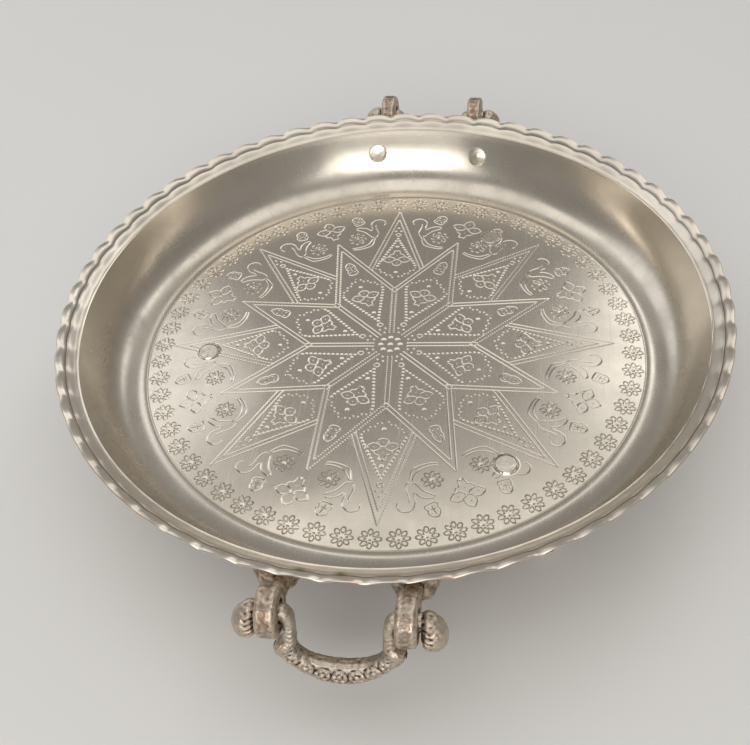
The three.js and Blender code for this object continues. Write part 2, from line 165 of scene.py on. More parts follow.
class Engraving:
    """Grooves and punch marks, gathered as the points and edges of one flat triangulation."""

    def __init__(self):
        self.points = []
        self.depths = []
        self.painted_shade = []
        self.edges = []
        self.marks = []

    def add(self, point, depth, painted_shade=0.0):
        """A point with its depth and how much painted shade darkens it."""
        self.points.append(point)
        self.depths.append(depth)
        self.painted_shade.append(painted_shade)
        return len(self.points) - 1

    def loop(self, points, depth, painted_shade=0.0):
        rows = [self.add(point, depth, painted_shade) for point in points]
        self.edges += list(zip(rows, rows[1:] + rows[:1]))

    def ring(self, centre, radius, sides, depth):
        turns = 2 * np.pi * np.arange(sides) / sides
        self.loop([centre + cmath.rect(radius, turn) for turn in turns], depth)

    def groove(
        self, points, width=GROOVE_WIDTH, depth=GROOVE_DEPTH, closed=False, step=GROOVE_STEP, beaded=False
    ):
        """A groove with sloping sides, level at its open ends. A beaded one swells at every other step."""
        points = resampled(points, step, closed)
        count = len(points)
        rows = []
        for k, point in enumerate(points):
            before = points[k - 1] if closed or k else point
            after = points[(k + 1) % count] if closed or k + 1 < count else point
            along = after - before
            across = 1j * along / (abs(along) or 1)
            swell = (BEAD_SWELL if k % 2 else BEAD_WAIST) if beaded else 1.0
            if not closed and k in (0, count - 1):
                rows.append([self.add(point + across * width * side / 4, 0) for side in (1, 0, -1)])
                continue
            half = across * width / 2 * swell
            near_side = self.add(point + half, 0)
            bottom = self.add(point, depth * swell, CREVICE_SHADE)
            rows.append([near_side, bottom, self.add(point - half, 0)])
            for m in range(1 if beaded or (k == count - 2 and not closed) else MARKS_PER_STEP):
                spot = point + (after - point) * m / MARKS_PER_STEP
                self.marks.append((spot, width / 2 * swell, depth * swell))
        pairs = zip(rows, rows[1:] + rows[:1]) if closed else zip(rows, rows[1:])
        for near, far in pairs:
            self.edges += list(zip(near, far))

    def cup(self, centre, radius=BEAD_RADIUS, depth=BEAD_DEPTH, sides=BEAD_SIDES):
        self.ring(centre, radius, sides, 0)
        self.add(centre, depth, CREVICE_SHADE)

    def cups_along(self, points, radius=BEAD_RADIUS, pitch=BEAD_PITCH, sway=0.0):
        row = resampled(points, pitch, False)
        for k, point in enumerate(row):
            along = row[min(k + 1, len(row) - 1)] - row[max(k - 1, 0)]
            side = 1j * along / abs(along) * (sway if k % 2 else -sway)
            self.cup(point + side, radius)


def resampled(points, step, closed):
    """Points spaced evenly along a row of complex points."""
    row = list(points) + ([points[0]] if closed else [])
    lengths = np.cumsum([0.0] + [abs(b - a) for a, b in zip(row, row[1:])])
    count = max(3 if closed else 1, round(lengths[-1] / step))
    places = np.linspace(0, lengths[-1], count + 1)
    if closed:
        places = places[:-1]
    return list(np.interp(places, lengths, np.real(row)) + 1j * np.interp(places, lengths, np.imag(row)))


def curved(points, closed=False, steps=6):
    """A smooth row through a few complex points."""
    count = len(points)
    get = (lambda k: points[k % count]) if closed else (lambda k: points[min(max(k, 0), count - 1)])
    row = []
    for k in range(count if closed else count - 1):
        a, b, c, d = get(k - 1), get(k), get(k + 1), get(k + 2)
        for share in np.arange(steps) / steps:
            row.append(
                b + share * (c - a) / 2 + share**2 * (a - 2.5 * b + 2 * c - d / 2)
                + share**3 * (1.5 * (b - c) + (d - a) / 2)
            )
    return row if closed else row + [points[-1]]


# Dots, as radius, depth and sides
SMALL_DOT = (0.55, 0.25, 6)
LEAF_DOT = (0.7, 0.25, 6)


def petal(engraving, spot, length, width, pointed):
    """A petal's outline from the spot outward, with a dot in it."""
    sharp = 0.62 if pointed else 1.0
    outline = [(0.04, 0), (0.3, 0.42), (0.62, 0.5), (0.88, 0.36 * sharp), (1.0, 0), (0.88, -0.36 * sharp),
               (0.62, -0.5), (0.3, -0.42)]
    engraving.groove(curved([spot.at(x * length, y * width) for x, y in outline], True), closed=True)
    engraving.cup(spot.at(0.55 * length), *SMALL_DOT)


FLOWER_LEAF = ((0.008, 0.037), (0.030, 0.028), (0.036, 0.014), (0.060, 0.010), (0.053, 0.0))


def flower(engraving, spot, pointed=False):
    """Three petals behind the spot and a wavy leaf ahead of it."""
    petal(engraving, spot.moved(-0.002, 0, 180), 0.055 if pointed else 0.042, 0.040, pointed)
    for side in (1, -1):
        petal(engraving, spot.moved(0, 0.004 * side, 98 * side), 0.056, 0.036, True)
    leaf = list(FLOWER_LEAF) + [(x, -y) for x, y in reversed(FLOWER_LEAF[:-1])]
    engraving.groove(curved([spot.at(x, y) for x, y in leaf], steps=4))
    engraving.cup(spot.at(0.024), *SMALL_DOT)


PETAL_PLACE = 0.6
PETAL_LENGTH = 0.36
PETAL_WIDTH = 0.25
# A petal's outline: size, depth and painted shade of its outer edge, bottom and inner edge
PETAL_OUTLINE = ((1.0, 0.0, 0.0), (0.76, 0.34, 0.3), (0.5, 0.0, 0.0))
PETAL_SIDES = 8


def rosette(engraving, centre, radius, turn):
    """A punched rosette: a ring of outlined oval petals round a small dot."""
    for k in range(ROSETTE_PETALS):
        heading = cmath.rect(radius, turn + 2 * math.pi * k / ROSETTE_PETALS)
        for share, depth, dark in PETAL_OUTLINE:
            oval = [
                centre + heading * complex(
                    PETAL_PLACE + share * PETAL_LENGTH * math.cos(a), share * PETAL_WIDTH * math.sin(a)
                )
                for a in np.arange(PETAL_SIDES) * 2 * math.pi / PETAL_SIDES
            ]
            # The middle ring of each petal carries painted shade, standing in for the shadow in its hollow
            engraving.loop(oval, depth, dark)
    engraving.cup(centre, radius * 0.2, 0.3)


LEAF_VEIN = 0.7


def four_cell_leaf(engraving, spot, length, width):
    """A small lobed leaf that two veins part into four cells, with a dot in each."""
    outline = [(0.5, 0), (0.36, 0.34), (0.12, 0.5), (-0.02, 0.4), (-0.2, 0.5), (-0.4, 0.36)]
    whole = outline + [(x, -y) for x, y in reversed(outline[1:])]
    engraving.groove(curved([spot.at(x * length, y * width) for x, y in whole], True, 4), closed=True)
    engraving.groove([spot.at(-0.3 * length), spot.at(0.36 * length)], LEAF_VEIN)
    engraving.groove([spot.at(-0.02 * length, -0.3 * width), spot.at(-0.02 * length, 0.3 * width)], LEAF_VEIN)
    for x in (-0.2, 0.18):
        for y in (-0.24, 0.24):
            engraving.cup(spot.at(x * length, y * width), *LEAF_DOT)


SPRIG_STROKES = (
    ((0.607, 0.202), (0.608, 0.170), (0.628, 0.1225), (0.649, 0.1084), (0.691, 0.1028)),
    ((0.616, 0.203), (0.620, 0.175), (0.632, 0.147), (0.649, 0.128), (0.687, 0.111)),
    ((0.695, 0.107), (0.698, 0.122), (0.7175, 0.139), (0.736, 0.161), (0.747, 0.189), (0.7535, 0.196)),
    ((0.7535, 0.196), (0.7624, 0.184), (0.7635, 0.165), (0.756, 0.142), (0.737, 0.122)),
    ((0.693, 0.102), (0.707, 0.092), (0.733, 0.094), (0.761, 0.104), (0.785, 0.106)),
    ((0.737, 0.122), (0.759, 0.121), (0.780, 0.127), (0.802, 0.124), (0.819, 0.109), (0.824, 0.093),
     (0.818, 0.073), (0.803, 0.0635), (0.788, 0.065), (0.782, 0.0705)),
)
SPRIG_ROSETTE = (0.6826, 0.1831)
SPRIG_ROSETTE_RADIUS = 7.0


def sprig(engraving, spot):
    """A curling sprig with a rosette in its bend, beside an outer point of the star."""
    for stroke in SPRIG_STROKES:
        engraving.groove(curved([spot.at(x, y) for x, y in stroke]))
    rosette(engraving, spot.at(*SPRIG_ROSETTE), SPRIG_ROSETTE_RADIUS, math.radians(spot.heading))
    four_cell_leaf(engraving, spot.moved(0.81, 0.19, 30), 0.067, 0.048)


def kite_slope(base, tip):
    return math.atan2(base[1], tip - base[0])


def kite_sides(engraving, spot, base, tip, edge):
    """The double beaded lines on both sides of a star's point. They start on a line at the edge's angle."""
    slope = kite_slope(base, tip)
    back = LINE_SPACING / math.sin(edge + slope)
    inner_base = (base[0] - back * math.cos(edge), base[1] - back * math.sin(edge))
    inner_tip = tip - LINE_SPACING / math.sin(slope)
    for side in (spot, spot.mirrored()):
        for start, end in ((base, tip), (inner_base, inner_tip)):
            engraving.groove([side.at(*start), side.at(end)], LINE_WIDTH, step=BEADED_STEP, beaded=True)


def cluster(engraving, spot, ahead):
    """A ring with three dots ahead of it."""
    ring = [spot.at(0.011 * math.cos(a), 0.011 * math.sin(a)) for a in np.arange(8) * math.pi / 4]
    engraving.groove(ring, closed=True)
    for x, y in ((0.028, 0.012), (0.028, -0.012), (0.05, 0)):
        engraving.cup(spot.at(x * ahead, y), 1.0)


CENTRE_BEAD = 1.9
CENTRE_RING = 0.039
LONE_BEAD = 1.5
# The zigzag of beads at the blunt end of a border: its points, then bead radius, pitch and sway
BLUNT_END = 3
BLUNT_BEADS = (0.95, 2.4, 0.55)


def star(engraving):
    """The whole engraved floor, in eight like sectors inside a ring of rosettes."""
    half_step = math.pi / STAR_POINTS
    outer_edge = half_step + kite_slope(INNER_KITE_BASE, INNER_TIP)
    engraving.cup(STAR_CENTRE, CENTRE_BEAD)
    for k in range(STAR_POINTS):
        outer = Spot(STAR_CENTRE, OUTER_TIP_ANGLE + STAR_STEP * k)
        inner = Spot(STAR_CENTRE, INNER_TIP_ANGLE + STAR_STEP * k)
        engraving.cup(outer.at(CENTRE_RING), CENTRE_BEAD)
        for side in (1, -1):
            y = side * LINE_SPACING / 2
            engraving.groove([outer.at(x, y) for x in RADIAL_LINE], LINE_WIDTH, step=BEADED_STEP, beaded=True)
        kite_sides(engraving, inner, INNER_KITE_BASE, INNER_TIP, half_step)
        kite_sides(engraving, outer, OUTER_KITE_BASE, OUTER_TIP, outer_edge)
        for spot, border in ((outer, OUTER_BEADS), (inner, INNER_BEADS)):
            for side in (spot, spot.mirrored()):
                row = [side.at(x, y) for x, y in border]
                engraving.cups_along(row[:BLUNT_END], *BLUNT_BEADS)
                engraving.cups_along(row[BLUNT_END - 1:])
        flower(engraving, outer.moved(0.538))
        flower(engraving, inner.moved(0.31, 0, 180))
        flower(engraving, inner.moved(0.80, 0, 180, 1.1), True)
        for spot, places in ((outer, (0.448, 0.623)), (inner, (0.38, 0.205))):
            for x in places:
                engraving.cup(spot.at(x), LONE_BEAD)
        cluster(engraving, outer.moved(0.708), 1)
        cluster(engraving, inner.moved(0.125), -1)
        four_cell_leaf(engraving, inner.moved(0.507), 0.09, 0.042)
        sprig(engraving, outer)
        sprig(engraving, outer.mirrored())
    for k in range(ROSETTES):
        heading = 2 * math.pi * k / ROSETTES
        rosette(engraving, cmath.rect(ROSETTE_CIRCLE * FLOOR_RADIUS, heading), ROSETTE_RADIUS, heading)


# The floor is drawn up round the foot rivets, as radius and rise.
MOUND_RINGS = ((8.3, 0.0), (7.6, 0.1), (7.1, 0.6), (6.7, 1.08), (6.45, 1.14), (6.3, 0.0))
MOUND_SIDES = 40
HOLE_RADIUS = 2.8


def rivet_place(node):
    low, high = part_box(node)
    return (low + high) / 2 / MM


def mound_rise(distance):
    """How far the floor is drawn up at a distance from a foot rivet."""
    radii, rises = zip(*reversed(MOUND_RINGS))
    return np.interp(distance, radii, rises)


def on_mounds(vertices, faces, places):
    """Which faces lie on the slopes round the foot rivets."""
    outer, inner = MOUND_RINGS[0][0], MOUND_RINGS[-2][0]
    middles = [complex(*vertices[list(face), :2].mean(axis=0)) for face in faces]
    return [any(inner < abs(middle - place) < outer for place in places) for middle in middles]


def floor_mesh(foot_rivets):
    """The engraved floor: vertices, triangles, its edge's vertices and each vertex's painted shade."""
    engraving = Engraving()
    engraving.ring(0, FLOOR_EDGE, COLUMNS, 0)
    for place in foot_rivets:
        for radius, _ in MOUND_RINGS:
            engraving.ring(place, radius, MOUND_SIDES, 0)
        engraving.ring(place, HOLE_RADIUS, MOUND_SIDES // 2, 0)
    star(engraving)
    flat = [Vector((point.real, point.imag)) for point in engraving.points]
    points, _, faces, origins, _, _ = delaunay_2d_cdt(flat, engraving.edges, [], 0, 1e-4)
    tree = kdtree.KDTree(len(engraving.marks))
    for k, (spot, _, _) in enumerate(engraving.marks):
        tree.insert((spot.real, spot.imag, 0), k)
    tree.balance()
    spots = np.array([complex(*point) for point in points])
    depths = np.zeros(len(points))
    for k, point in enumerate(points):
        depth = max((engraving.depths[m] for m in origins[k]), default=0)
        for _, m, distance in tree.find_n((point.x, point.y, 0), 4):
            _, half, most = engraving.marks[m]
            depth = max(depth, most * (1 - (distance / half) ** 2))
        depths[k] = depth
    heights = FLOOR_TOP - depths
    for place in foot_rivets:
        heights += mound_rise(abs(spots - place))
    found = {m: k for k, row in enumerate(origins) for m in row}
    edge = [found[k] for k in range(COLUMNS)]
    painted_shade = [max((engraving.painted_shade[m] for m in row), default=0) for row in origins]
    vertices = np.column_stack([spots.real, spots.imag, heights])
    return vertices, outside_holes(faces, spots, foot_rivets), edge, painted_shade


def outside_holes(faces, spots, places):
    """The faces that lie outside the holes of the foot rivets."""
    middles = [sum(spots[k] for k in face) / len(face) for face in faces]
    return [
        tuple(face) for face, middle in zip(faces, middles)
        if min(abs(middle - place) for place in places) > HOLE_RADIUS
    ]


def flute(angle):
    """The flutes' wave from -1 to 1: crowned pads with a long rise and a short fall to a narrow valley."""
    share = (FLUTES * angle / (2 * math.pi) + 0.75) % 1
    pad = np.minimum(smoothstep(0, FLUTE_RISE, share), smoothstep(0, FLUTE_FALL, 1 - share))
    return (2 - FLUTE_CROWN) * pad + FLUTE_CROWN * np.sin(np.pi * share) - 1


def wall_profile():
    """The dish's section from the floor's edge over the lip and back, as rows of radius and height."""
    shares = np.linspace(0.1, 1, WALL_STEPS)
    wall = np.array([bezier(WALL_CURVE, share) for share in shares])
    start = wall[0, 0]
    lift = BAND_LIFT * (1 - smoothstep(start, start + BAND_BLEND, wall[:, 0]))
    upper = np.column_stack([wall[:, 0], wall[:, 1] + lift])
    steps = np.gradient(wall, axis=0)
    normals = np.column_stack([steps[:, 1], -steps[:, 0]]) / np.hypot(*steps.T)[:, None]
    under = (wall + SHEET * normals)[::-2]
    floor_under = ((FLOOR_RADIUS, -SHEET), (FLOOR_EDGE, -SHEET))
    return np.array([*EDGE_BAND, *upper, *RIM_TOP, *RIM_UNDER, *under, *floor_under])


def wall_rings(profile):
    angles = 2 * np.pi * np.arange(COLUMNS) / COLUMNS
    wave = flute(angles)
    rings = []
    for radius, height in profile:
        share = np.clip((radius - RIDGE_RADIUS) / RIM_REACH, 0, 1) ** FLUTE_SPREAD
        oval = -RIM_OVAL * np.clip(height / WALL_HEIGHT, 0, 1) * np.cos(2 * angles)
        reach = radius + oval + FLUTE_SCALLOP * share * wave
        level = FLOOR_TOP + height + FLUTE_WAVE * share * wave
        rings.append(np.column_stack([reach * np.cos(angles), reach * np.sin(angles), level]))
    return np.array(rings)


def new_piece(name, vertices, faces, body, slot, *nodes):
    """A mesh object in metres that rides on a body and stands for its nodes."""
    mesh = bpy.data.meshes.new(name)
    mesh.from_pydata((np.asarray(vertices) * MM).tolist(), [], faces)
    mesh.validate()
    piece = bpy.data.objects.new(name, mesh)
    bpy.context.scene.collection.objects.link(piece)
    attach(piece, body)
    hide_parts(*nodes)
    return piece


def store(piece, name, values):
    """Keeps a number for each vertex that the material reads."""
    layer = piece.data.attributes.new(name, "FLOAT", "POINT")
    layer.data.foreach_set("value", np.asarray(values, np.float32))


SHARP_ANGLE = 32
# Radii and shares: how worn the lip is, and how much painted shade darkens the crease inside it
WORN_LIP = ((202.0, 203.0), (0.0, 1.0))
PAINTED_CREASE_SHADE = ((197.5, 198.0, 198.5), (0.0, 0.9, 0.0))
# The scuffed part of the cove, by radius and by angle from the left
SCUFFED_COVE = ((161.0, 166.0, 179.0, 184.0), (0.0, 1.0, 1.0, 0.0))
SCUFF_SPAN = 0.9
SCUFF_REST = 0.65
# The radii between which the sheet turns from the wall's finish to the rim's
FLUTED_FROM = (190, 192)
# Verdigris in the rim over the front bail
GREEN_SPOTS = ((-21.0, -198.5, 71.5), (-1.0, -199.0, 71.5))
GREEN_SPOT = 3.0


def dish(material):
    """The tray's sheet: engraved floor, wall, rim and plain underside in one closed skin."""
    foot_rivets = [complex(*rivet_place(f"{name}_foot_rivet").xy) for name in ("left", "rear", "front")]
    vertices, faces, edge, painted_shade = floor_mesh(foot_rivets)
    profile = wall_profile()
    rings = wall_rings(profile)
    start = len(vertices)
    floor_faces = len(faces)
    count = len(rings)
    index = start + np.arange(count * COLUMNS).reshape(count, COLUMNS)
    rows = np.vstack([edge, index])
    for near, far in zip(rows, rows[1:]):
        quads = np.column_stack([near, far, np.roll(far, -1), np.roll(near, -1)])
        faces += [tuple(quad) for quad in quads.tolist()]
    under = Engraving()
    under.ring(0, FLOOR_EDGE, COLUMNS, 0)
    for place in foot_rivets:
        under.ring(place, HOLE_RADIUS, MOUND_SIDES // 2, 0)
    flat = [Vector((point.real, point.imag)) for point in under.points]
    _, _, triangles, origins, _, _ = delaunay_2d_cdt(flat, under.edges, [], 0, 1e-4)
    bottom = start + count * COLUMNS
    names = [rows[-1][row[0]] if row[0] < COLUMNS else bottom + row[0] - COLUMNS for row in origins]
    spots = [under.points[row[0]] for row in origins]
    for face in outside_holes(triangles, spots, foot_rivets):
        faces.append(tuple(int(names[k]) for k in reversed(face)))
    lower = [(p.real, p.imag, FLOOR_TOP - SHEET) for p in under.points[COLUMNS:]]
    points = np.vstack([vertices, rings.reshape(-1, 3), lower])
    piece = new_piece("tray_dish", points, faces, "tray", "tinned_sheet", "tray_body")
    mesh = piece.data
    smooth = np.ones(len(mesh.polygons), bool)
    smooth[:floor_faces] = on_mounds(vertices, faces[:floor_faces], foot_rivets)
    mesh.set_sharp_from_angle(angle=math.radians(SHARP_ANGLE))
    mesh.polygons.foreach_set("use_smooth", smooth)
    mesh.materials.append(material)
    plain = np.zeros(len(lower))
    ring_wear = np.repeat(np.interp(profile[:, 0], *WORN_LIP), COLUMNS)
    # Painted shade along the rim's crease
    ring_painted_shade = np.repeat(np.interp(profile[:, 0], *PAINTED_CREASE_SHADE), COLUMNS)
    store(piece, "worn", np.concatenate([np.zeros(start), ring_wear, plain]))
    store(piece, "painted_shade", np.concatenate([painted_shade, ring_painted_shade, plain]))
    radii = np.hypot(points[:, 0], points[:, 1])
    from_left = np.angle(-points[:, 0] - 1j * points[:, 1])
    side = SCUFF_REST + (1 - SCUFF_REST) * np.exp(-((from_left / SCUFF_SPAN) ** 2))
    green = [np.exp(-((np.linalg.norm(points - place, axis=1) / GREEN_SPOT) ** 2)) for place in GREEN_SPOTS]
    store(piece, "scuffed", side * np.interp(radii, *SCUFFED_COVE))
    store(piece, "fluted", smoothstep(*FLUTED_FROM, radii))
    store(piece, "verdigris", np.max(green, axis=0))
    return piece


def remeshed(node, voxel):
    """A fine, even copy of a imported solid: positions in millimetres and faces."""
    blank = bpy.data.objects.new("blank", frame["nodes"][node].data.copy())
    bpy.context.scene.collection.objects.link(blank)
    blank.modifiers.new("even", "REMESH").voxel_size = voxel * MM
    graph = bpy.context.evaluated_depsgraph_get()
    mesh = bpy.data.meshes.new_from_object(blank.evaluated_get(graph))
    points = np.empty(len(mesh.vertices) * 3)
    mesh.vertices.foreach_get("co", points)
    faces = [tuple(face.vertices) for face in mesh.polygons]
    edges = np.empty(len(mesh.edges) * 2, int)
    mesh.edges.foreach_get("vertices", edges)
    bpy.data.objects.remove(blank)
    bpy.data.meshes.remove(mesh)
    return points.reshape(-1, 3) / MM, faces, edges.reshape(-1, 2)


def averaged(points, edges):
    """Each point's neighbours, averaged."""
    total = np.zeros_like(points)
    number = np.zeros(len(points))
    for a, b in ((0, 1), (1, 0)):
        for axis in range(3):
            total[:, axis] += np.bincount(edges[:, a], points[edges[:, b], axis], len(points))
        number += np.bincount(edges[:, a], minlength=len(points))
    return total / number[:, None]


def rounded(points, edges, rounds):
    """Points smoothed without shrinking: each round pulls in and then pushes back."""
    for _ in range(rounds):
        for pull in (0.5, -0.53):
            points = points + pull * (averaged(points, edges) - points)
    return points


def normals_of(points, faces):
    quads = np.array([face if len(face) == 4 else (*face, face[-1]) for face in faces])
    corners = points[quads]
    across = np.cross(corners[:, 2] - corners[:, 0], corners[:, 3] - corners[:, 1])
    normals = np.zeros_like(points)
    for k in range(4):
        for axis in range(3):
            normals[:, axis] += np.bincount(quads[:, k], across[:, axis], len(points))
    return normals / np.maximum(np.linalg.norm(normals, axis=1), 1e-9)[:, None]


def lumps(points, size, seed):
    """Smooth noise from about -1 to 1 with lumps of a size in millimetres."""
    shift = Vector((seed * 31.7, seed * 17.3, seed * 7.1))
    return np.array([noise.noise(Vector(point) / size + shift) for point in points.tolist()])


CAST_ROUGHNESS = 0.3
# The rough skin's lumps, as share and size
COARSE_LUMPS = (0.6, 5.0)
FINE_LUMPS = (0.8, 1.9)
CALM_ROUNDS = 10


def casting(node, body, material, relief, voxel, rounds):
    """A cast piece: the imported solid, rounded off, with relief and a rough skin."""
    points, faces, edges = remeshed(node, voxel)
    points = rounded(points, edges, rounds)
    normals = normals_of(points, faces)
    seed = sum(map(ord, node)) % 97
    height = relief(points, normals)
    coarse = COARSE_LUMPS[0] * lumps(points, COARSE_LUMPS[1], seed)
    fine = FINE_LUMPS[0] * lumps(points, FINE_LUMPS[1], seed + 1)
    height = height + CAST_ROUGHNESS * (coarse + fine)
    points = points + normals * height[:, None]
    points[:, 2] = np.maximum(points[:, 2], 0)
    calm = points
    for _ in range(CALM_ROUNDS):
        calm = averaged(calm, edges)
    proud = np.einsum("ij,ij->i", points - calm, normals)
    piece = new_piece(f"{node}_cast", points, faces, body, "casting", node)
    piece.data.shade_smooth()
    piece.data.materials.append(material)
    store(piece, "proud", np.clip(0.5 + proud / 0.5, 0, 1))
    return piece


BAIL_TILT = math.radians(20)
GRIP_CENTRE = -8.0
GRIP_MIDDLE = 25.0
SHOULDER_MIDDLE = 28.0
FLORET_PITCH = 8.2
# A floret's button, petals and the pit round them, as height, radius and width
FLORET_BUTTON = (0.8, 0.0, 1.1)
FLORET_PETALS = (0.7, 2.8, 0.9)
FLORET_PIT = (0.3, 4.3, 0.7)
FLORET_PETAL_COUNT = 6
FINIAL_SWELL = 1.4
FINIAL_FLUTE = 0.4
FINIAL_PITCH = 2.6
RIB_HEIGHT = 0.16
RIB_PITCH = 2.2
HORN_TRIM = 2.2
# The hollow between a leg and its shoulder, filled up
WEB_FILL = 1.2
WEB_PLACE = (26.0, -17.5)
WEB_SIZE = 3.5


def hump(form, away):
    """A rounded ridge of a height, radius and width, at a distance from its middle."""
    height, radius, width = form
    return height * np.exp(-(((away - radius) / width) ** 2))


def bail_relief(joint):
    """The relief of a bail: florets on its outer face, ribs on its legs and finials."""
    place = np.array(joint["pos_m"]) / MM
    side = -np.array(joint["axis"])
    outward = np.cross(side, (0, 0, 1))

    def relief(points, normals):
        local = points - place
        u = local @ side
        out = local @ outward
        v = local[:, 2] * math.cos(BAIL_TILT) - out * math.sin(BAIL_TILT)
        facing = normals @ outward * math.cos(BAIL_TILT) + normals[:, 2] * math.sin(BAIL_TILT)
        angle = np.arctan2(u, GRIP_CENTRE - v)
        middle = np.interp(abs(angle), (0, 1.1), (GRIP_MIDDLE, SHOULDER_MIDDLE))
        along = angle * GRIP_MIDDLE
        across = np.hypot(u, v - GRIP_CENTRE) - middle
        cell = along - FLORET_PITCH * np.round(along / FLORET_PITCH)
        away = np.hypot(cell, across)
        turn = np.arctan2(across, cell)
        florets = hump(FLORET_BUTTON, away)
        florets += hump(FLORET_PETALS, away) * (0.6 + 0.4 * np.cos(FLORET_PETAL_COUNT * turn))
        florets -= hump(FLORET_PIT, away)
        grip = smoothstep(0.2, 0.6, facing) * (1 - smoothstep(0.95, 1.15, abs(angle)))
        strap = smoothstep(17.5, 20.5, abs(u)) * smoothstep(-25, -20, v) * (1 - smoothstep(-9, -5, v))
        wander = 1.2 * np.sin(0.9 * abs(u)) + 0.7 * np.sin(0.6 * v + 1.3 * out)
        ribs = RIB_HEIGHT * np.cos(2 * np.pi * (v + 0.45 * (abs(u) - 20) + wander) / RIB_PITCH)
        finial = smoothstep(38.5, 39.5, abs(u)) * (1 - smoothstep(43, 46, abs(u)))
        flutes = FINIAL_FLUTE * np.cos(2 * np.pi * (v + 0.4 * wander) / FINIAL_PITCH)
        fuller = FINIAL_SWELL * smoothstep(39, 42, abs(u))
        horn = smoothstep(30, 34, abs(u)) * smoothstep(-30, -24, v) * (1 - smoothstep(-15, -12, v))
        web_across, web_up = (abs(u) - WEB_PLACE[0]) / WEB_SIZE, (v - WEB_PLACE[1]) / WEB_SIZE
        web = WEB_FILL * np.exp(-(web_across**2) - web_up**2)
        return florets * grip + ribs * strap + flutes * finial + fuller + web - HORN_TRIM * horn

    return relief


SHELL_RIBS = 11
SHELL_RIB_HEIGHT = 0.45
SHELL_ROOT = 14


def shell_relief(rivet):
    """Fan ribs on a bracket's shell, which spread from below its neck."""
    middle = np.array(rivet_place(rivet))
    outward = middle * (1, 1, 0) / np.hypot(*middle[:2])
    side = np.cross((0, 0, 1), outward)

    def relief(points, normals):
        local = points - middle
        across = local @ side
        up = local[:, 2]
        reach = np.hypot(points[:, 0], points[:, 1])
        turn = np.arctan2(across, SHELL_ROOT - up)
        on_shell = smoothstep(-4, 3, -up) * smoothstep(3, 7, np.hypot(across, up))
        on_shell = on_shell * (1 - smoothstep(203, 206, reach))
        ribs = SHELL_RIB_HEIGHT * np.cos(SHELL_RIBS * turn * 2)
        return ribs * on_shell * smoothstep(0.1, 0.5, normals @ outward)

    return relief


TOE_GROOVES = (-2.6, 2.6)
TOE_GROOVE_WIDTH = 0.8
TOE_GROOVE_DEPTH = 0.7
TOE_TOP = 13.0
TOE_FADE = 4


def foot_relief(node):
    """Grooves that part the toes on a foot's outer face."""
    low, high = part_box(node)
    middle = np.array(low + high) / 2 / MM
    outward = middle * (1, 1, 0) / np.hypot(*middle[:2])
    side = np.cross((0, 0, 1), outward)

    def relief(points, normals):
        across = (points - middle) @ side
        grooves = sum(np.exp(-(((across - place) / TOE_GROOVE_WIDTH) ** 2)) for place in TOE_GROOVES)
        lower = 1 - smoothstep(TOE_TOP - TOE_FADE, TOE_TOP, points[:, 2])
        return -TOE_GROOVE_DEPTH * grooves * lower * smoothstep(0.1, 0.5, normals @ outward)

    return relief


RIVET_VOXEL = 0.35
RIVET_ROUNDS = 6
HAMMER_DEPTH = 0.04
HAMMER_SIZE = 2.5
# A foot rivet's head: points above this height over the floor form its top, of these radii and heights
HEAD_UNDER = 0.6
FLAT_HEAD = ((0.0, 1.18), (5.7, 1.15), (6.05, 1.1), (6.3, 0.95))


def rivet_piece(node, body, material, flat=False):
    """A rivet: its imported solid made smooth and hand-hammered. A flat one has a level top."""
    points, faces, edges = remeshed(node, RIVET_VOXEL)
    points = rounded(points, edges, RIVET_ROUNDS)
    if flat:
        away = np.hypot(*(points - np.array(rivet_place(node)))[:, :2].T)
        level = FLOOR_TOP + np.interp(away, *zip(*FLAT_HEAD))
        points[:, 2] = np.where(points[:, 2] > FLOOR_TOP + HEAD_UNDER, level, points[:, 2])
    normals = normals_of(points, faces)
    hammered = HAMMER_DEPTH * lumps(points, HAMMER_SIZE, sum(map(ord, node)) % 89)
    points = points + normals * hammered[:, None]
    piece = new_piece(f"{node}_head", points, faces, body, "rivet", node)
    piece.data.shade_smooth()
    piece.data.materials.append(material)
    return piece


